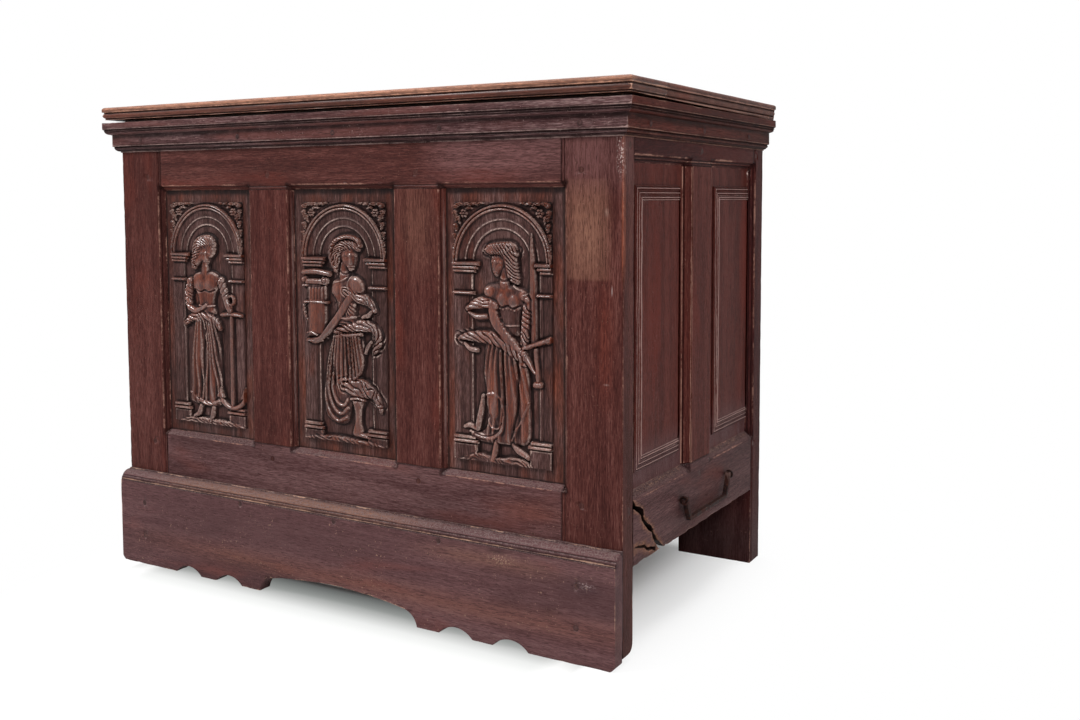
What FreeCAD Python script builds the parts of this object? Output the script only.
import FreeCAD, Part
import math
import os

import Sketcher

# A joined oak coffer: frame-and-panel walls, a nailed plinth board and cornice,
# a three-board lid on two iron strap hinges, and an iron drop handle on each end.
# Frame: +Z up, the front faces -Y, +X is the right end, origin on the floor at the
# middle of the whole coffer's box. Millimetres.

# ----------------------------------------------------------------- driving sizes

SIZES = {
    # the whole coffer
    "carcass_width": 1015,          # over the outer edges of the stiles
    "carcass_depth": 574,           # front face of the front stiles to the back face
    "overall_height": 830,          # floor to the lid's top
    "foot_gap": 12,                 # worn front feet stop short of the floor
    # frame members
    "stile_width": 98,
    "stile_thickness": 33,
    "back_stile_width": 140,
    "back_stile_thickness": 48,
    "rail_thickness": 30,
    "muntin_width": 99,
    "end_muntin_width": 106,
    "end_first_opening": 199,       # between the front stile and the end muntin
    "top_rail_height": 122,
    "end_top_rail_height": 88,
    "rail_bottom": 136,             # underside of every bottom rail
    "bottom_rail_height": 112,
    "end_bottom_rail_height": 107,
    # moulded edges and panel grooves
    "mould_width": 8,
    "end_mould_width": 12,
    "front_setback": 11,            # frame face to the panels' flat margin
    "end_setback": 13,
    "back_setback": 10,
    "tongue_thickness": 9,
    "groove_depth": 8,
    "groove_play": 0.5,             # room for each panel to swell in its groove
    # mortice and tenon joints
    "tenon_thickness": 9,
    "tenon_length": 60,
    "tenon_shoulder": 18,
    "muntin_tenon_length": 40,
    "end_tenon_length": 22,
    "peg_diameter": 9,
    "peg_inset": 32,                # peg centre from the shoulder of its joint
    "end_peg_inset": 12,
    "peg_edge": 24,                 # peg centre from the moulded edge of its rail
    # carved front panels: a raised field with an arched niche
    "field_margin": 15,
    "field_margin_top": 21,
    "field_margin_bottom": 19,
    "field_rise": 10,
    "niche_half_width": 57,
    "niche_radius": 55,
    "niche_foot": 20,               # ledge under the niche
    "niche_crown": 35,              # field left above the niche
    "niche_depth": 8,
    # fielded end panels
    "end_field_width": 158,
    "end_field_offset": 24.5,
    "end_field_margin_top": 31,
    "end_field_margin_bottom": 23,
    "end_field_step": 8,
    "end_field_step_rise": 1.7,
    # plinth board with its shaped lower edge
    "plinth_thickness": 24,
    "plinth_height": 152,
    "plinth_mould_height": 16,
    "plinth_corner_radius": 9,
    "plinth_mould_fillet": 2,
    "arch_half_span": 165,
    "arch_height": 37,
    "arch_shoulder": 24,            # run of the steep curve at each end of the arch
    "arch_shoulder_height": 25,
    "arch_shoulder_radius": 30,
    "end_foot_length": 141,
    "scallop_width": 62,
    "scallop_height": 14,
    "scallop_foot": 36,
    # cornice
    "cornice_height": 53,
    "cornice_projection": 24,
    "cornice_fascia": 12,
    "cornice_quirk": 2,
    "cornice_ovolo": 8,
    "cornice_web": 12,              # thickness at the flat below the ovolo
    "cornice_bead": 8,
    # floor boards
    "floor_thickness": 15,
    "floor_level": 165,             # underside of the boards
    "floor_gap": 1,
    "bearer_size": 25,
    # lid
    "lid_thickness": 28,
    "lid_overhang": 24,
    "lid_nosing": 9,
    "lid_nosing_radius": 5,
    "lid_nosing_step": 2,
    "lid_lip_setback": 4.5,
    "lid_front_board": 119,
    "lid_back_board": 29,
    "lid_gap_front": 5.5,           # shadow gap between the lid's lip and the cornice
    "lid_gap_back": 1.0,
    "lid_gap_inset": 4,
    "batten_width": 45,
    "batten_thickness": 20,
    "batten_inset": 38,             # batten from the carcass end's outer face
    "batten_clearance": 25,
    # strap hinges
    "hinge_offset": 320,
    "strap_width": 32,
    "strap_thickness": 3,
    "strap_length": 240,
    "leaf_length": 105,
    "leaf_knuckle_length": 15,
    "knuckle_gap": 0.5,
    "knuckle_standoff": 0.35,
    "pin_diameter": 6,
    "pin_play": 0.05,
    "pin_projection": 2,
    # drop handles
    "handle_centre": 299,           # from the front face
    "handle_height": 194,
    "handle_spread": 196,           # between the two staple eyes
    "handle_drop": 41,
    "handle_bar": 8,
    "handle_pivot_diameter": 6,
    "handle_pivot_length": 10,
    "eye_standoff": 8,
    "eye_wire": 4,
    "eye_play": 0.4,
    "staple_gap": 0.8,
    "staple_depth": 24,
    # nails
    "nail_diameter": 4,
    "nail_head_diameter": 9,
    "nail_head_height": 1.6,
    "nail_head_crown": 5.4,         # across the top of a head that stands proud
    "nail_bite": 9,                 # how far a nail enters the second member
    "nail_edge": 62,
    "cornice_nail_drop": 33,
    "plinth_nail_rise": 8,
    "leaf_nail_offset": 22,
    "leaf_nail_edge": 12,
}

doc = FreeCAD.newDocument("Coffer")
sheet = doc.addObject("Spreadsheet::Sheet", "Dims")
for row, (alias, number) in enumerate(SIZES.items(), start=1):
    sheet.set(f"A{row}", alias)
    sheet.set(f"B{row}", str(number))
    sheet.setAlias(f"B{row}", alias)
doc.recompute()


class Size:
    """A length that carries both its number and the expression that ties it to the sheet."""

    def __init__(self, value, text):
        self.value = float(value)
        self.text = text

    @staticmethod
    def of(other):
        return other if isinstance(other, Size) else Size(other, repr(float(other)))

    def __add__(self, other):
        other = Size.of(other)
        return Size(self.value + other.value, f"({self.text} + {other.text})")

    def __sub__(self, other):
        other = Size.of(other)
        return Size(self.value - other.value, f"({self.text} - {other.text})")

    def __mul__(self, other):
        other = Size.of(other)
        return Size(self.value * other.value, f"({self.text} * {other.text})")

    def __truediv__(self, other):
        other = Size.of(other)
        return Size(self.value / other.value, f"({self.text} / {other.text})")

    def __neg__(self):
        return Size(-self.value, f"(-1 * {self.text})")

    def __radd__(self, other):
        return Size.of(other) + self

    def __rsub__(self, other):
        return Size.of(other) - self

    def __rmul__(self, other):
        return Size.of(other) * self


def largest(*sizes):
    """The largest of several sizes."""
    sizes = [Size.of(size) for size in sizes]
    text = "; ".join(size.text for size in sizes)
    return Size(max(size.value for size in sizes), f"max({text})")


class Dimensions:
    """The sheet's cells as Size attributes."""

    def __getattr__(self, alias):
        return Size(getattr(sheet, alias), f"Dims.{alias}")


dim = Dimensions()
ZERO = Size.of(0)

# ------------------------------------------------------------- planes and outlines

# Each sketch plane: the origin plane's role, its two in-plane axes, its normal axis
# and which way along that axis the sketch's own normal points.
PLANES = {
    "XY": ("XY_Plane", 0, 1, 2, 1),
    "XZ": ("XZ_Plane", 0, 2, 1, -1),
    "YZ": ("YZ_Plane", 1, 2, 0, 1),
}
AXES = [FreeCAD.Vector(1, 0, 0), FreeCAD.Vector(0, 1, 0), FreeCAD.Vector(0, 0, 1)]


class Face:
    """A vertical face of the carcass: depths are measured inwards from it."""

    def __init__(self, plane, level, inward):
        self.plane = plane
        self.level = level
        self.inward = inward

    def at(self, depth):
        return self.level + self.inward * Size.of(depth)


def bind(feature, path, size):
    """Tie a feature's property to a size's expression."""
    feature.setExpression(path, Size.of(size).text)


def origin_plane(body, role):
    for feature in body.Origin.OriginFeatures:
        if feature.Role == role:
            return feature
    raise ValueError(role)


bodies = {}


def new_body(label):
    body = doc.addObject("PartDesign::Body", label)
    body.Label = label
    bodies[label] = body
    return body


def new_sketch(body, plane, u, v, level):
    """An attached sketch whose own origin lies at (u, v) on the plane at the given level."""
    role, _, _, _, normal = PLANES[plane]
    sketch = body.newObject("Sketcher::SketchObject", "Sketch")
    sketch.AttachmentSupport = [(origin_plane(body, role), "")]
    sketch.MapMode = "FlatFace"
    bind(sketch, "AttachmentOffset.Base.x", u)
    bind(sketch, "AttachmentOffset.Base.y", v)
    bind(sketch, "AttachmentOffset.Base.z", normal * Size.of(level))
    return sketch


def arc_between(start, end, radius, turn):
    """The arc from start to end; turn is +1 anticlockwise, -1 clockwise."""
    chord = end - start
    half = chord.Length / 2
    rise = math.sqrt(max(radius * radius - half * half, 0.0))
    left = FreeCAD.Vector(-chord.y, chord.x, 0).normalize()
    centre = (start + end) / 2 + left * rise * turn
    first, last = (start, end) if turn > 0 else (end, start)
    angle_first = math.atan2(first.y - centre.y, first.x - centre.x)
    angle_last = math.atan2(last.y - centre.y, last.x - centre.x)
    if angle_last <= angle_first:
        angle_last += 2 * math.pi
    circle = Part.Circle(centre, FreeCAD.Vector(0, 0, 1), radius)
    return Part.ArcOfCircle(circle, angle_first, angle_last)


def draw_outline(sketch, points):
    """Draw a closed outline. A point is (u, v), or (u, v, radius, turn) where the edge
    that arrives at it is an arc. Every point is tied to the sheet."""
    places = [FreeCAD.Vector(Size.of(p[0]).value, Size.of(p[1]).value, 0) for p in points]
    ends = []
    for index, point in enumerate(points):
        start, end = places[index - 1], places[index]
        if len(point) == 4:
            turn = point[3]
            edge = sketch.addGeometry(arc_between(start, end, Size.of(point[2]).value, turn))
            ends.append((edge, 1, 2) if turn > 0 else (edge, 2, 1))
        else:
            edge = sketch.addGeometry(Part.LineSegment(start, end))
            ends.append((edge, 1, 2))
    for index, point in enumerate(points):
        edge, _, last = ends[index]
        following, first, _ = ends[(index + 1) % len(points)]
        sketch.addConstraint(Sketcher.Constraint("Coincident", edge, last, following, first))
        for kind, size in (("DistanceX", point[0]), ("DistanceY", point[1])):
            size = Size.of(size)
            number = sketch.addConstraint(
                Sketcher.Constraint(kind, -1, 1, edge, last, size.value))
            bind(sketch, f"Constraints[{number}]", size)
        if len(point) == 4:
            radius = Size.of(point[2])
            number = sketch.addConstraint(Sketcher.Constraint("Radius", edge, radius.value))
            bind(sketch, f"Constraints[{number}]", radius)


def draw_circles(sketch, places, diameter):
    """Circles of one diameter, each centre tied to the sheet."""
    for place in places:
        u, v = (Size.of(size) for size in place)
        centre = FreeCAD.Vector(u.value, v.value, 0)
        circle = Part.Circle(centre, FreeCAD.Vector(0, 0, 1), diameter.value / 2)
        edge = sketch.addGeometry(circle)
        for kind, size in (("DistanceX", u), ("DistanceY", v)):
            number = sketch.addConstraint(Sketcher.Constraint(kind, -1, 1, edge, 3, size.value))
            bind(sketch, f"Constraints[{number}]", size)
        number = sketch.addConstraint(Sketcher.Constraint("Diameter", edge, diameter.value))
        bind(sketch, f"Constraints[{number}]", diameter)


def extrude(body, sketch, plane, length, towards, cut=False, taper=None):
    """Pad or pocket a sketch along its plane's axis; towards is +1 or -1 along that axis."""
    normal = PLANES[plane][4]
    before = body.Tip.Shape.Volume if cut else 0.0
    feature = body.newObject("PartDesign::Pocket" if cut else "PartDesign::Pad", "Extrude")
    feature.Profile = sketch
    own_way = -normal if cut else normal
    feature.Reversed = own_way != towards
    bind(feature, "Length", length)
    if taper is not None:
        feature.setExpression("TaperAngle", taper)
    body.Tip = feature
    doc.recompute([feature])
    if cut and before - feature.Shape.Volume < 0.01:
        raise RuntimeError(f"{body.Label}: a pocket cuts nothing")
    return feature


def block(body, plane, corner, far_corner, level, length, towards=1, cut=False, taper=None):
    """A rectangular pad or pocket between two corners on a plane."""
    u, v = (Size.of(size) for size in corner)
    width = Size.of(far_corner[0]) - u
    height = Size.of(far_corner[1]) - v
    sketch = new_sketch(body, plane, u, v, level)
    draw_outline(sketch, [(ZERO, ZERO), (width, ZERO), (width, height), (ZERO, height)])
    return extrude(body, sketch, plane, length, towards, cut, taper)


def slab(body, face, corner, far_corner, depth, thickness, cut=False, taper=None):
    """A rectangular pad or pocket in a face's own terms, from a depth inwards."""
    return block(body, face.plane, corner, far_corner, face.at(depth), thickness,
                 face.inward, cut, taper)


def drill(body, face, places, depth, length, diameter, cut=True):
    """Round holes into a face, or round pads where cut is False."""
    sketch = new_sketch(body, face.plane, ZERO, ZERO, face.at(depth))
    draw_circles(sketch, places, diameter)
    return extrude(body, sketch, face.plane, length, face.inward, cut)


def cylinder(name, plane_axis, centre, diameter, length):
    """A cylinder along an axis, from its centre point onwards."""
    solid = doc.addObject("Part::Cylinder", name)
    bind(solid, "Radius", Size.of(diameter) / 2)
    bind(solid, "Height", length)
    place_on_axis(solid, plane_axis, centre)
    return solid


def cone(name, plane_axis, centre, base_diameter, top_diameter, length):
    """A cut cone along an axis, from its base's centre onwards."""
    solid = doc.addObject("Part::Cone", name)
    bind(solid, "Radius1", Size.of(base_diameter) / 2)
    bind(solid, "Radius2", Size.of(top_diameter) / 2)
    bind(solid, "Height", length)
    place_on_axis(solid, plane_axis, centre)
    return solid


def place_on_axis(solid, direction, centre, roll=0):
    """Turn a solid's own Z to the direction, roll it about that by degrees and bind its
    place."""
    turn = FreeCAD.Rotation(AXES[2], direction)
    solid.Placement.Rotation = turn.multiply(FreeCAD.Rotation(AXES[2], roll))
    for letter, size in zip("xyz", centre):
        bind(solid, f"Placement.Base.{letter}", size)


# ------------------------------------------------------------------ derived places

half_width = dim.carcass_width / 2
carcass_top = dim.overall_height - dim.lid_thickness
knuckle_radius = dim.pin_diameter / 2 + dim.pin_play + dim.strap_thickness
front_projection = largest(dim.plinth_thickness, dim.cornice_projection, dim.lid_overhang)
hinge_projection = dim.knuckle_standoff + 2 * knuckle_radius
front_y = (front_projection - dim.carcass_depth - hinge_projection) / 2
back_y = front_y + dim.carcass_depth

FRONT = Face("XZ", front_y, 1)
BACK = Face("XZ", back_y, -1)
RIGHT = Face("YZ", half_width, -1)
LEFT = Face("YZ", -half_width, 1)
ENDS = {"right": RIGHT, "left": LEFT}
SIDES = {"right": 1, "left": -1}

front_opening = (dim.carcass_width - 2 * dim.stile_width - 2 * dim.muntin_width) / 3
back_opening = (dim.carcass_width - 2 * dim.back_stile_width - 2 * dim.muntin_width) / 3
front_sill = dim.rail_bottom + dim.bottom_rail_height
front_head = carcass_top - dim.top_rail_height
end_sill = dim.rail_bottom + dim.end_bottom_rail_height
end_head = carcass_top - dim.end_top_rail_height
end_muntin_y = front_y + dim.stile_thickness + dim.end_first_opening
EYES = [(front_y + dim.handle_centre - dim.handle_spread / 2, dim.handle_height),
        (front_y + dim.handle_centre + dim.handle_spread / 2, dim.handle_height)]
TOP = Face("XY", dim.overall_height, -1)
LID_UNDERSIDE = Face("XY", carcass_top, 1)


def opening_box(start, width, sill, head):
    """An opening as ((u, v), (u, v)) at the panels' level."""
    return (start, sill), (start + width, head)


def row_of_openings(first, width, sill, head):
    pitch = width + dim.muntin_width
    return [opening_box(first + pitch * index, width, sill, head) for index in range(3)]


FRONT_OPENINGS = row_of_openings(-half_width + dim.stile_width, front_opening,
                                 front_sill, front_head)
BACK_OPENINGS = row_of_openings(-half_width + dim.back_stile_width, back_opening,
                                front_sill, front_head)
END_OPENINGS = [
    opening_box(front_y + dim.stile_thickness, dim.end_first_opening, end_sill, end_head),
    opening_box(end_muntin_y + dim.end_muntin_width,
                back_y - dim.back_stile_thickness - end_muntin_y - dim.end_muntin_width,
                end_sill, end_head),
]


def grown(opening, margin):
    """An opening box made larger by a margin all round."""
    (u0, v0), (u1, v1) = opening
    return (u0 - margin, v0 - margin), (u1 + margin, v1 + margin)


# ------------------------------------------------------------- frame-and-panel work


def cut_groove(body, face, opening, setback):
    """The panel groove round one opening, where this member meets it."""
    corner, far_corner = grown(opening, dim.groove_depth)
    slab(body, face, corner, far_corner, setback, dim.tongue_thickness, cut=True)


def cut_moulding(body, face, opening, setback):
    """The sloped moulding round one opening, mitred at the opening's corners."""
    width = dim.end_mould_width if face in (RIGHT, LEFT) else dim.mould_width
    corner, far_corner = grown(opening, width)
    taper = f"(-1 * atan({width.text} / {setback.text}))"
    slab(body, face, corner, far_corner, ZERO, setback, cut=True, taper=taper)


def cut_mortice(body, face, corner, far_corner, setback):
    slab(body, face, corner, far_corner, setback, dim.tenon_thickness, cut=True)


def add_tenon(body, face, corner, far_corner, setback):
    slab(body, face, corner, far_corner, setback, dim.tenon_thickness)


class Rail:
    """A horizontal member between two stiles, with its two tenons and pegs."""

    def __init__(self, face, setback, start, end, low, high, tenon, moulded_edge, peg_inset):
        self.face = face
        self.setback = setback
        self.start = start
        self.end = end
        self.low = low
        self.high = high
        self.tenon = tenon
        self.peg_inset = peg_inset
        self.peg_height = high - dim.peg_edge if moulded_edge == "high" else low + dim.peg_edge

    def tenon_boxes(self):
        low = self.low + dim.tenon_shoulder
        high = self.high - dim.tenon_shoulder
        return [((self.start - self.tenon, low), (self.start, high)),
                ((self.end, low), (self.end + self.tenon, high))]

    def peg_places(self):
        return [(self.start - self.peg_inset, self.peg_height),
                (self.end + self.peg_inset, self.peg_height)]

    def build(self, label, openings, moulded):
        body = new_body(label)
        slab(body, self.face, (self.start, self.low), (self.end, self.high),
             ZERO, dim.rail_thickness)
        for corner, far_corner in self.tenon_boxes():
            add_tenon(body, self.face, corner, far_corner, self.setback)
        for opening in openings:
            if moulded:
                cut_moulding(body, self.face, opening, self.setback)
            cut_groove(body, self.face, opening, self.setback)
        return body


def drill_pegs(body, face, places, thickness):
    """Holes for the pegs that lie in this member, through its whole thickness."""
    drill(body, face, places, ZERO, thickness, dim.peg_diameter)


def muntin_tenons(start, width, sill, head):
    """The foot and head tenons of a muntin."""
    left = start + dim.tenon_shoulder
    right = start + width - dim.tenon_shoulder
    return [((left, sill - dim.muntin_tenon_length), (right, sill)),
            ((left, head), (right, head + dim.muntin_tenon_length))]


def muntin_pegs(start, width, sill, head):
    middle = start + width / 2
    return [(middle, sill - dim.peg_edge), (middle, head + dim.peg_edge)]


def build_muntin(label, face, setback, start, width, sill, head, openings, moulded):
    body = new_body(label)
    slab(body, face, (start, sill), (start + width, head), ZERO, dim.rail_thickness)
    for corner, far_corner in muntin_tenons(start, width, sill, head):
        add_tenon(body, face, corner, far_corner, setback)
    for opening in openings:
        if moulded:
            cut_moulding(body, face, opening, setback)
        cut_groove(body, face, opening, setback)
    drill_pegs(body, face, muntin_pegs(start, width, sill, head), dim.rail_thickness)
    return body


def panel_board(body, face, opening, setback):
    """A panel's flat board with its tongue in the grooves all round."""
    corner, far_corner = grown(opening, dim.groove_depth - dim.groove_play)
    slab(body, face, corner, far_corner, setback, dim.tongue_thickness)


def group_solids(label, solids):
    """Separate like solids as one sub-part."""
    group = doc.addObject("Part::Compound", label)
    group.Links = solids
    group.Label = label


def peg_group(label, pegs):
    """The pegs of one wall as one group of separate solids."""
    solids = []
    for face, (u, v), length in pegs:
        centre = [None, None, None]
        _, first, second, normal, _ = PLANES[face.plane]
        centre[first] = u
        centre[second] = v
        centre[normal] = face.level
        solids.append(cylinder("Peg", AXES[normal] * face.inward, centre,
                               dim.peg_diameter, length))
    group_solids(label, solids)


# ---------------------------------------------------------------------- four walls

front_start = -half_width + dim.stile_width
front_end = half_width - dim.stile_width
back_start = -half_width + dim.back_stile_width
back_end = half_width - dim.back_stile_width
end_start = front_y + dim.stile_thickness
end_end = back_y - dim.back_stile_thickness

front_rails = {
    "front_top_rail": Rail(FRONT, dim.front_setback, front_start, front_end, front_head,
                           carcass_top, dim.tenon_length, "low", dim.peg_inset),
    "front_bottom_rail": Rail(FRONT, dim.front_setback, front_start, front_end,
                              dim.rail_bottom, front_sill, dim.tenon_length, "high",
                              dim.peg_inset),
}
back_rails = {
    "back_top_rail": Rail(BACK, dim.back_setback, back_start, back_end, front_head,
                          carcass_top, dim.tenon_length, "low", dim.peg_inset),
    "back_bottom_rail": Rail(BACK, dim.back_setback, back_start, back_end,
                             dim.rail_bottom, front_sill, dim.tenon_length, "high",
                             dim.peg_inset),
}


def end_rails(side):
    face = ENDS[side]
    return {
        f"{side}_top_rail": Rail(face, dim.end_setback, end_start, end_end, end_head,
                                 carcass_top, dim.end_tenon_length, "low",
                                 dim.end_peg_inset),
        f"{side}_bottom_rail": Rail(face, dim.end_setback, end_start, end_end,
                                    dim.rail_bottom, end_sill, dim.end_tenon_length,
                                    "high", dim.end_peg_inset),
    }


def build_long_wall(name, face, setback, rails, openings, moulded):
    """Rails, muntins and panel positions of the front or back wall."""
    sill, head = openings[0][0][1], openings[0][1][1]
    muntins = {}
    for side, index in (("left", 0), ("right", 1)):
        start = openings[index][1][0]
        muntins[side] = start
        build_muntin(f"{name}_{side}_muntin", face, setback, start, dim.muntin_width,
                     sill, head, openings[index:index + 2], moulded)
    pegs = []
    for position, (label, rail) in enumerate(rails.items()):
        body = rail.build(label, openings, moulded)
        for start in muntins.values():
            corner, far_corner = muntin_tenons(start, dim.muntin_width, sill, head)[1 - position]
            cut_mortice(body, face, corner, far_corner, setback)
            place = muntin_pegs(start, dim.muntin_width, sill, head)[1 - position]
            drill_pegs(body, face, [place], dim.rail_thickness)
            pegs.append((face, place, dim.rail_thickness))
        drill_pegs(body, face, rail.peg_places(), dim.rail_thickness)
        pegs += [(face, place, dim.rail_thickness) for place in rail.peg_places()]
    return pegs


front_pegs = build_long_wall("front", FRONT, dim.front_setback, front_rails,
                             FRONT_OPENINGS, True)
back_pegs = build_long_wall("back", BACK, dim.back_setback, back_rails,
                            BACK_OPENINGS, False)


def build_end_wall(side):
    """Rails and muntin of one end wall; returns its pegs."""
    face = ENDS[side]
    build_muntin(f"{side}_muntin", face, dim.end_setback, end_muntin_y,
                 dim.end_muntin_width, end_sill, end_head, END_OPENINGS, True)
    pegs = []
    for position, (label, rail) in enumerate(end_rails(side).items()):
        body = rail.build(label, END_OPENINGS, True)
        corner, far_corner = muntin_tenons(end_muntin_y, dim.end_muntin_width,
                                           end_sill, end_head)[1 - position]
        cut_mortice(body, face, corner, far_corner, dim.end_setback)
        place = muntin_pegs(end_muntin_y, dim.end_muntin_width,
                            end_sill, end_head)[1 - position]
        drill_pegs(body, face, [place], dim.rail_thickness)
        drill_pegs(body, face, rail.peg_places(), dim.rail_thickness)
        pegs += [(face, spot, dim.rail_thickness) for spot in [place] + rail.peg_places()]
        if position == 1:
            drill(body, face, EYES, ZERO, dim.staple_depth, dim.eye_wire)
    return pegs


end_pegs = build_end_wall("right") + build_end_wall("left")


def build_stile(label, side, back):
    """A corner stile, morticed and grooved on both of its inner edges."""
    body = new_body(label)
    face = BACK if back else FRONT
    width = dim.back_stile_width if back else dim.stile_width
    thickness = dim.back_stile_thickness if back else dim.stile_thickness
    setback = dim.back_setback if back else dim.front_setback
    foot = ZERO if back else dim.foot_gap
    if SIDES[side] > 0:
        start, end = half_width - width, half_width
    else:
        start, end = -half_width, width - half_width
    slab(body, face, (start, foot), (end, carcass_top), ZERO, thickness)
    openings = BACK_OPENINGS if back else FRONT_OPENINGS
    opening = openings[2] if SIDES[side] > 0 else openings[0]
    if not back:
        cut_moulding(body, face, opening, setback)
    cut_groove(body, face, opening, setback)
    tenon_end = 1 if SIDES[side] > 0 else 0
    for rail in (back_rails if back else front_rails).values():
        corner, far_corner = rail.tenon_boxes()[tenon_end]
        cut_mortice(body, face, corner, far_corner, setback)
        drill_pegs(body, face, [rail.peg_places()[tenon_end]], thickness)
    end_face = ENDS[side]
    end_opening = END_OPENINGS[1 if back else 0]
    if back:
        cut_moulding(body, end_face, end_opening, dim.end_setback)
    cut_groove(body, end_face, end_opening, dim.end_setback)
    for rail in end_rails(side).values():
        corner, far_corner = rail.tenon_boxes()[1 if back else 0]
        cut_mortice(body, end_face, corner, far_corner, dim.end_setback)
        drill_pegs(body, end_face, [rail.peg_places()[1 if back else 0]], dim.rail_thickness)
    return body


for side in SIDES:
    build_stile(f"front_{side}_stile", side, back=False)
    build_stile(f"back_{side}_stile", side, back=True)

peg_group("front_pegs", front_pegs)
peg_group("back_pegs", back_pegs)
peg_group("end_pegs", end_pegs)

# -------------------------------------------------------------------------- panels


def build_carved_panel(label, opening):
    """A front panel: thin margins, a raised field and the arched niche sunk in it."""
    body = new_body(label)
    panel_board(body, FRONT, opening, dim.front_setback)
    (u0, v0), (u1, v1) = opening
    corner = (u0 + dim.field_margin, v0 + dim.field_margin_bottom)
    far_corner = (u1 - dim.field_margin, v1 - dim.field_margin_top)
    field_face = dim.front_setback - dim.field_rise
    slab(body, FRONT, corner, far_corner, field_face, dim.field_rise)
    spring = far_corner[1] - corner[1] - dim.niche_crown - dim.niche_radius
    reach = dim.niche_half_width
    radius = dim.niche_radius
    middle = (u0 + u1) / 2
    sketch = new_sketch(body, "XZ", middle, corner[1], FRONT.at(field_face))
    draw_outline(sketch, [
        (-reach, dim.niche_foot),
        (reach, dim.niche_foot),
        (reach, spring),
        (radius, spring),
        (ZERO, spring + radius, radius, 1),
        (-radius, spring, radius, 1),
        (-reach, spring),
    ])
    extrude(body, sketch, "XZ", dim.niche_depth, 1, cut=True)
    return body


def build_end_panel(label, face, opening):
    """An end panel: a plain field raised in steps above thin margins. The steps run
    round three sides; the side towards the back stands square."""
    body = new_body(label)
    panel_board(body, face, opening, dim.end_setback)
    (u0, v0), (_, v1) = opening
    for step in range(3):
        inset = dim.end_field_step * step
        left = u0 + dim.end_field_offset
        corner = (left + inset, v0 + dim.end_field_margin_bottom + inset)
        far_corner = (left + dim.end_field_width, v1 - dim.end_field_margin_top - inset)
        top = dim.end_setback - dim.end_field_step_rise * (step + 1)
        slab(body, face, corner, far_corner, top, dim.end_field_step_rise)
    return body


for position, opening in zip(("left", "middle", "right"), FRONT_OPENINGS):
    build_carved_panel(f"front_{position}_panel", opening)
for position, opening in zip(("left", "middle", "right"), BACK_OPENINGS):
    plain = new_body(f"back_{position}_panel")
    panel_board(plain, BACK, opening, dim.back_setback)
for side, face in ENDS.items():
    build_end_panel(f"{side}_front_panel", face, END_OPENINGS[0])
    build_end_panel(f"{side}_back_panel", face, END_OPENINGS[1])

# ---------------------------------------------------------------------- plinth board


def bow_radius(half_chord, rise):
    """The radius of the arc that rises this much over half its chord."""
    value = (half_chord.value ** 2 + rise.value ** 2) / (2 * rise.value)
    text = f"(({half_chord.text}^2 + {rise.text}^2) / (2 * {rise.text}))"
    return Size(value, text)


def mirrored(points):
    """An outline's points mirrored left to right, in the order that carries it on."""
    result = []
    arc = ()
    for point in reversed(points):
        result.append((-point[0], point[1], *arc))
        arc = point[2:]
    return result


def plinth_half_outline():
    """The lower edge of the board's right half: end foot, two scallops and the arch."""
    corner = dim.plinth_corner_radius
    scallop = bow_radius(dim.scallop_width / 2, dim.scallop_height)
    points = [(half_width, corner), (half_width - corner, ZERO, corner, -1)]
    start = half_width - dim.end_foot_length
    for _ in range(2):
        points.append((start, ZERO))
        points.append((start - dim.scallop_width / 2, dim.scallop_height, scallop, 1))
        points.append((start - dim.scallop_width, ZERO, scallop, 1))
        start = start - dim.scallop_width - dim.scallop_foot
    points.append((dim.arch_half_span, ZERO))
    points.append((dim.arch_half_span - dim.arch_shoulder, dim.arch_shoulder_height,
                   dim.arch_shoulder_radius, 1))
    return points


def build_plinth():
    """The board across the front: shaped below, moulded along its top edge."""
    body = new_body("plinth_board")
    right = plinth_half_outline()
    left = mirrored(right)
    crown = bow_radius(dim.arch_half_span - dim.arch_shoulder,
                       dim.arch_height - dim.arch_shoulder_height)
    left[0] = (*left[0], crown, 1)
    top = dim.plinth_height
    sketch = new_sketch(body, "XZ", ZERO, ZERO, FRONT.at(-dim.plinth_thickness))
    draw_outline(sketch, right + left + [(-half_width, top), (half_width, top)])
    extrude(body, sketch, "XZ", dim.plinth_thickness, 1)
    profile = new_sketch(body, "YZ", front_y, top, -half_width)
    thick = dim.plinth_thickness
    high = dim.plinth_mould_height
    fillet = dim.plinth_mould_fillet
    draw_outline(profile, [
        (ZERO, ZERO),
        (ZERO, high),
        (-2 * fillet, high),
        (-2 * fillet, high - fillet),
        (fillet - thick, fillet, thick - 3 * fillet, 1),
        (fillet - thick, ZERO),
    ])
    extrude(body, profile, "YZ", dim.carcass_width, 1)
    return body


build_plinth()

# --------------------------------------------------------------------------- cornice


def cornice_points(outward):
    """The cornice profile from the wall outwards; outward is +1 or -1 along the plane."""
    reach = dim.cornice_projection
    tall = dim.cornice_height
    quirk = dim.cornice_quirk
    ovolo_top = dim.cornice_fascia + quirk / 2
    ovolo_foot = ovolo_top + dim.cornice_ovolo
    bead_top = tall - quirk - dim.cornice_bead
    profile = [
        (ZERO, ZERO),
        (reach, ZERO),
        (reach, dim.cornice_fascia),
        (reach - quirk, ovolo_top),
        (reach - quirk - dim.cornice_ovolo, ovolo_foot, dim.cornice_ovolo, -outward),
        (dim.cornice_web, ovolo_foot + quirk / 2),
        (dim.cornice_web, bead_top - quirk / 2),
        (dim.cornice_web - quirk, bead_top),
        (dim.cornice_web - quirk - dim.cornice_bead, tall - quirk, dim.cornice_bead, -outward),
        (dim.cornice_web - quirk - dim.cornice_bead, tall),
        (ZERO, tall),
    ]
    return [(outward * point[0], -point[1], *point[2:]) for point in profile]


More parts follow.
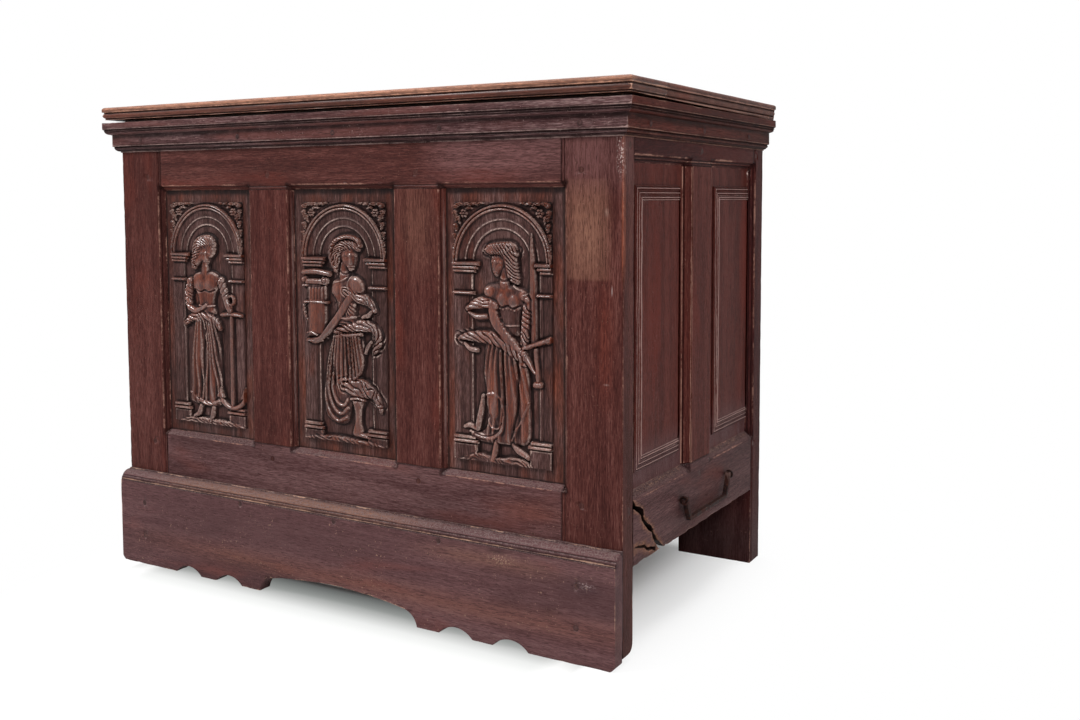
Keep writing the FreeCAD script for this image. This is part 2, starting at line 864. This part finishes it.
def cut_mitre(body, corner, along, across):
    """Cut a 45 degree mitre through the full height at a plan corner."""
    reach = dim.cornice_projection * 2
    sketch = new_sketch(body, "XY", corner[0], corner[1], carcass_top - dim.cornice_height * 2)
    draw_outline(sketch, [(ZERO, ZERO), (along[0] * reach, along[1] * reach),
                          (across[0] * reach, across[1] * reach)])
    extrude(body, sketch, "XY", dim.cornice_height * 3, 1, cut=True)


def build_front_cornice():
    body = new_body("cornice_front")
    reach = half_width + dim.cornice_projection
    sketch = new_sketch(body, "YZ", front_y, carcass_top, -reach)
    draw_outline(sketch, cornice_points(-1))
    extrude(body, sketch, "YZ", 2 * reach, 1)
    for sign in (1, -1):
        cut_mitre(body, (sign * half_width, front_y), (sign, -1), (sign, 0))
    return body


def build_end_cornice(side):
    sign = SIDES[side]
    body = new_body(f"cornice_{side}")
    start = front_y - dim.cornice_projection
    sketch = new_sketch(body, "XZ", sign * half_width, carcass_top, start)
    draw_outline(sketch, cornice_points(sign))
    extrude(body, sketch, "XZ", dim.carcass_depth + dim.cornice_projection, 1)
    cut_mitre(body, (sign * half_width, front_y), (sign, -1), (0, -1))
    return body


build_front_cornice()
for side in SIDES:
    build_end_cornice(side)

# ------------------------------------------------------------------ floor boards

floor_start = front_y + dim.stile_thickness + dim.floor_gap
floor_end = back_y - dim.rail_thickness - dim.floor_gap
floor_reach = half_width - dim.rail_thickness - dim.floor_gap
floor_board_width = (2 * floor_reach - 3 * dim.floor_gap) / 4
FLOOR = Face("XY", dim.floor_level, 1)

for index, position in enumerate(("left", "middle_left", "middle_right", "right")):
    board = new_body(f"floor_{position}_board")
    start = -floor_reach + (floor_board_width + dim.floor_gap) * index
    end = start + floor_board_width
    slab(board, FLOOR, (start, floor_start), (end, floor_end), ZERO, dim.floor_thickness)
    notch_y = back_y - dim.back_stile_thickness - dim.floor_gap
    notch_x = half_width - dim.back_stile_width - dim.floor_gap
    if position == "left":
        slab(board, FLOOR, (start, notch_y), (-notch_x, floor_end), ZERO,
             dim.floor_thickness, cut=True)
    if position == "right":
        slab(board, FLOOR, (notch_x, notch_y), (end, floor_end), ZERO,
             dim.floor_thickness, cut=True)

for label, wall, width in (("front_bearer", FRONT, dim.stile_width),
                           ("back_bearer", BACK, dim.back_stile_width)):
    reach = half_width - width - dim.floor_gap
    slab(new_body(label), wall, (-reach, dim.floor_level - dim.bearer_size),
         (reach, dim.floor_level), dim.rail_thickness, dim.bearer_size)

# -------------------------------------------------------------------------- the lid

lid_reach = half_width + dim.lid_overhang
lid_front = front_y - dim.lid_overhang
lid_joint_front = lid_front + dim.lid_front_board
lid_joint_back = back_y - dim.lid_back_board
batten_x = half_width - dim.batten_inset - dim.batten_width


def cut_lid_edge(body, plane, edge, inward, start, length):
    """Mould one edge of the lid: a rounded nosing over a set-back, sloping lip."""
    tall = dim.lid_thickness
    step = tall - dim.lid_nosing
    lower = new_sketch(body, plane, edge, carcass_top, start)
    draw_outline(lower, [
        (ZERO, ZERO),
        (inward * dim.lid_lip_setback, ZERO),
        (inward * dim.lid_nosing_step, step),
        (ZERO, step),
    ])
    extrude(body, lower, plane, length, 1, cut=True)
    upper = new_sketch(body, plane, edge, carcass_top, start)
    draw_outline(upper, [
        (ZERO, tall),
        (ZERO, tall - dim.lid_nosing_radius),
        (inward * dim.lid_nosing_radius, tall, dim.lid_nosing_radius, -inward),
    ])
    extrude(body, upper, plane, length, 1, cut=True)


def cut_shadow_gap(body):
    """Pare the underside of both end lips; the gap closes towards the back."""
    for start in (half_width - dim.lid_gap_inset, -lid_reach):
        sketch = new_sketch(body, "YZ", lid_front, carcass_top, start)
        run = back_y - lid_front
        draw_outline(sketch, [(ZERO, ZERO), (run, ZERO), (run, dim.lid_gap_back),
                              (ZERO, dim.lid_gap_front)])
        extrude(body, sketch, "YZ", dim.lid_gap_inset + dim.lid_overhang, 1, cut=True)


def build_lid_board(label, start, end, is_front):
    body = new_body(label)
    slab(body, LID_UNDERSIDE, (-lid_reach, start), (lid_reach, end), ZERO,
         dim.lid_thickness)
    cut_lid_edge(body, "XZ", lid_reach, -1, start, end - start)
    cut_lid_edge(body, "XZ", -lid_reach, 1, start, end - start)
    cut_shadow_gap(body)
    if is_front:
        cut_lid_edge(body, "YZ", lid_front, 1, -lid_reach, 2 * lid_reach)
        slab(body, LID_UNDERSIDE, (-lid_reach, lid_front),
             (lid_reach, front_y + dim.lid_gap_inset), ZERO, dim.lid_gap_front, cut=True)
    else:
        for sign in SIDES.values():
            middle = sign * dim.hinge_offset
            slab(body, LID_UNDERSIDE,
                 (middle - dim.strap_width / 2, back_y - dim.strap_length),
                 (middle + dim.strap_width / 2, back_y), ZERO, dim.strap_thickness,
                 cut=True)


build_lid_board("lid_front_board", lid_front, lid_joint_front, True)
build_lid_board("lid_middle_board", lid_joint_front, lid_joint_back, False)
build_lid_board("lid_back_board", lid_joint_back, back_y, False)

batten_start = front_y + dim.stile_thickness + dim.batten_clearance
batten_end = back_y - dim.back_stile_thickness - dim.batten_clearance
for side, sign in SIDES.items():
    start = batten_x if sign > 0 else -batten_x - dim.batten_width
    slab(new_body(f"lid_{side}_batten"), LID_UNDERSIDE, (start, batten_start),
         (start + dim.batten_width, batten_end), -dim.batten_thickness,
         dim.batten_thickness)

# ------------------------------------------------------------------- strap hinges

axis_y = back_y + dim.knuckle_standoff + knuckle_radius
axis_z = carcass_top + dim.strap_thickness - knuckle_radius
leaf_half = dim.strap_width / 2 + dim.knuckle_gap + dim.leaf_knuckle_length
PIN_AXIS = [(axis_y, axis_z)]


def add_knuckle(body, start, length):
    drill(body, Face("YZ", start, 1), PIN_AXIS, ZERO, length, 2 * knuckle_radius, cut=False)


def bore_knuckles(body, start, length):
    drill(body, Face("YZ", start, 1), PIN_AXIS, ZERO, length,
          dim.pin_diameter + 2 * dim.pin_play)


for side, sign in SIDES.items():
    middle = sign * dim.hinge_offset
    half_strap = dim.strap_width / 2
    strap = new_body(f"{side}_lid_strap")
    slab(strap, LID_UNDERSIDE, (middle - half_strap, back_y - dim.strap_length),
         (middle + half_strap, axis_y), ZERO, dim.strap_thickness)
    add_knuckle(strap, middle - half_strap, dim.strap_width)
    bore_knuckles(strap, middle - half_strap, dim.strap_width)

    leaf = new_body(f"{side}_hinge_leaf")
    slab(leaf, BACK, (middle - leaf_half, axis_z - dim.leaf_length),
         (middle + leaf_half, axis_z), -dim.strap_thickness, dim.strap_thickness)
    notch_half = half_strap + dim.knuckle_gap
    slab(leaf, BACK, (middle - notch_half, axis_z - knuckle_radius - 2 * dim.knuckle_gap),
         (middle + notch_half, axis_z), -dim.strap_thickness, dim.strap_thickness, cut=True)
    add_knuckle(leaf, middle - leaf_half, dim.leaf_knuckle_length)
    add_knuckle(leaf, middle + notch_half, dim.leaf_knuckle_length)
    bore_knuckles(leaf, middle - leaf_half, 2 * leaf_half)

    pin = cylinder(f"{side}_hinge_pin", AXES[0],
                   (middle - leaf_half - dim.pin_projection, axis_y, axis_z),
                   dim.pin_diameter, 2 * (leaf_half + dim.pin_projection))
    pin.Label = f"{side}_hinge_pin"

# ------------------------------------------------------------------- drop handles

eye_radius = dim.handle_pivot_diameter / 2 + dim.eye_play + dim.eye_wire / 2
arm_outer_front = EYES[0][0] + dim.eye_wire / 2 + dim.staple_gap
arm_outer_back = EYES[1][0] - dim.eye_wire / 2 - dim.staple_gap


def build_handle(side):
    """The iron bail: a squared bar bent down from two pivots that turn outwards."""
    face = ENDS[side]
    bar = dim.handle_bar
    outer_depth = -dim.eye_standoff - bar / 2
    low = dim.handle_height - dim.handle_drop - bar / 2
    high = dim.handle_height + bar / 2
    body = new_body(f"{side}_handle")
    sketch = new_sketch(body, face.plane, ZERO, ZERO, face.at(outer_depth))
    draw_outline(sketch, [
        (arm_outer_front, low),
        (arm_outer_back, low),
        (arm_outer_back, high),
        (arm_outer_back - bar, high),
        (arm_outer_back - bar, low + bar),
        (arm_outer_front + bar, low + bar),
        (arm_outer_front + bar, high),
        (arm_outer_front, high),
    ])
    extrude(body, sketch, face.plane, bar, face.inward)
    pivot_x = face.at(-dim.eye_standoff)
    reach = dim.handle_pivot_length
    for start in (arm_outer_front - reach, arm_outer_back):
        drill(body, Face("XZ", start, 1), [(pivot_x, dim.handle_height)], ZERO, reach,
              dim.handle_pivot_diameter, cut=False)


def build_staples(side):
    """The two ring-headed staples that carry a handle."""
    face = ENDS[side]
    staples = []
    for y, z in EYES:
        ring = doc.addObject("Part::Torus", "Eye")
        bind(ring, "Radius1", eye_radius)
        bind(ring, "Radius2", dim.eye_wire / 2)
        # the ring's seam faces away from the shank
        place_on_axis(ring, AXES[1], (face.at(-dim.eye_standoff), y, z),
                      roll=180 if face.inward > 0 else 0)
        shank = cylinder("Shank", AXES[0] * face.inward,
                         (face.at(eye_radius - dim.eye_standoff), y, z),
                         dim.eye_wire, dim.staple_depth + dim.eye_standoff - eye_radius)
        staple = doc.addObject("Part::Fuse", "Staple")
        staple.Base = ring
        staple.Tool = shank
        staples.append(staple)
    group_solids(f"{side}_staples", staples)


for side in ENDS:
    build_handle(side)
    build_staples(side)

# -------------------------------------------------------------------------- nails


def drive_nails(face, places, surface, through, pierced, flush=False):
    """Nails from a surface (its depth in the face's terms) through one member, with a
    bite into the next. Every pierced member gets their holes, and the first one the
    sinkings for flush heads."""
    _, first, second, normal, _ = PLANES[face.plane]
    length = through + dim.nail_bite
    sunk = surface + dim.nail_head_height if flush else surface
    driven = []
    for place in places:
        centre = [None, None, None]
        centre[first], centre[second] = (Size.of(size) for size in place)
        centre[normal] = face.at(surface)
        shank = cylinder("Shank", AXES[normal] * face.inward, centre,
                         dim.nail_diameter, length)
        centre[normal] = face.at(sunk)
        rim = dim.nail_head_diameter if flush else dim.nail_head_crown
        head = cone("Head", AXES[normal] * -face.inward, centre, dim.nail_head_diameter,
                    rim, dim.nail_head_height)
        nail = doc.addObject("Part::Fuse", "Nail")
        nail.Base = head
        nail.Tool = shank
        driven.append(nail)
    for label in pierced:
        drill(bodies[label], face, places, surface, length, dim.nail_diameter)
    if flush:
        drill(bodies[pierced[0]], face, places, surface, dim.nail_head_height,
              dim.nail_head_diameter)
    return driven


cornice_nail_z = carcass_top - dim.cornice_nail_drop
rail_xs = (-front_opening, ZERO, front_opening)
cornice_nails = drive_nails(FRONT, [(x, cornice_nail_z) for x in rail_xs],
                            -dim.cornice_web, dim.cornice_web,
                            ["cornice_front", "front_top_rail"])
plinth_nails = drive_nails(FRONT, [(x, dim.rail_bottom + dim.plinth_nail_rise)
                                   for x in rail_xs],
                           -dim.plinth_thickness, dim.plinth_thickness,
                           ["plinth_board", "front_bottom_rail"], flush=True)
end_nail_run = dim.carcass_depth - dim.back_stile_thickness - 2 * dim.nail_edge
end_nail_places = [(front_y + dim.nail_edge + end_nail_run * share, cornice_nail_z)
                   for share in (0, 0.5, 1)]
for side, sign in SIDES.items():
    stile = f"front_{side}_stile"
    corner_x = sign * (half_width - dim.nail_edge)
    cornice_nails += drive_nails(FRONT, [(corner_x, cornice_nail_z)], -dim.cornice_web,
                                 dim.cornice_web, ["cornice_front", stile])
    cornice_nails += drive_nails(ENDS[side], end_nail_places, -dim.cornice_web,
                                 dim.cornice_web,
                                 [f"cornice_{side}", f"{side}_top_rail"])
    plinth_nails += drive_nails(FRONT, [(corner_x, dim.plinth_height * share)
                                        for share in (0.35, 0.75)],
                                -dim.plinth_thickness, dim.plinth_thickness,
                                ["plinth_board", stile], flush=True)

leaf_nails = []
lid_nails = []
lid_bite = dim.lid_thickness - dim.nail_bite
for side, sign in SIDES.items():
    middle = sign * dim.hinge_offset
    leaf_places = [(middle + way * dim.leaf_nail_offset, axis_z - drop)
                   for way in (-1, 1)
                   for drop in (dim.leaf_nail_offset, dim.leaf_length - dim.leaf_nail_edge)]
    leaf_nails += drive_nails(BACK, leaf_places, -dim.strap_thickness, dim.strap_thickness,
                              [f"{side}_hinge_leaf", "back_top_rail"])
    strap = f"{side}_lid_strap"
    lid_nails += drive_nails(TOP, [(middle, back_y - dim.lid_back_board / 2)], ZERO,
                             lid_bite, ["lid_back_board", strap], flush=True)
    strap_run = dim.strap_length - dim.lid_back_board
    lid_nails += drive_nails(TOP, [(middle, lid_joint_back - strap_run * share)
                                   for share in (0.3, 0.6, 0.9)], ZERO,
                             lid_bite, ["lid_middle_board", strap], flush=True)
    batten = f"lid_{side}_batten"
    batten_middle = sign * (batten_x + dim.batten_width / 2)
    lid_nails += drive_nails(TOP, [(batten_middle, (batten_start + lid_joint_front) / 2)],
                             ZERO, dim.lid_thickness, ["lid_front_board", batten],
                             flush=True)
    batten_run = batten_end - lid_joint_front
    lid_nails += drive_nails(TOP, [(batten_middle, lid_joint_front + batten_run * share)
                                   for share in (0.15, 0.5, 0.9)], ZERO,
                             dim.lid_thickness, ["lid_middle_board", batten],
                             flush=True)

group_solids("cornice_nails", cornice_nails)
group_solids("plinth_nails", plinth_nails)
group_solids("hinge_nails", leaf_nails)
group_solids("lid_nails", lid_nails)

# ------------------------------------------------------------------ check and export

doc.recompute()

failed = [item.Label for item in doc.Objects
          if "Invalid" in item.State or "Error" in item.State]
if failed:
    raise RuntimeError(f"these objects failed: {failed}")

pins = [f"{side}_hinge_pin" for side in SIDES]
parts = [item for item in doc.Objects
         if item.TypeId in ("PartDesign::Body", "Part::Compound") or item.Label in pins]
os.makedirs("parts", exist_ok=True)
for part in parts:
    if part.Shape.isNull() or not part.Shape.isValid():
        raise RuntimeError(f"{part.Label} has no valid shape")
for part in parts:
    part.Shape.exportStep(f"parts/{part.Label}.step")
    print(f"{part.Label}: {len(part.Shape.Solids)} solid(s), {part.Shape.Volume:.0f} mm3")
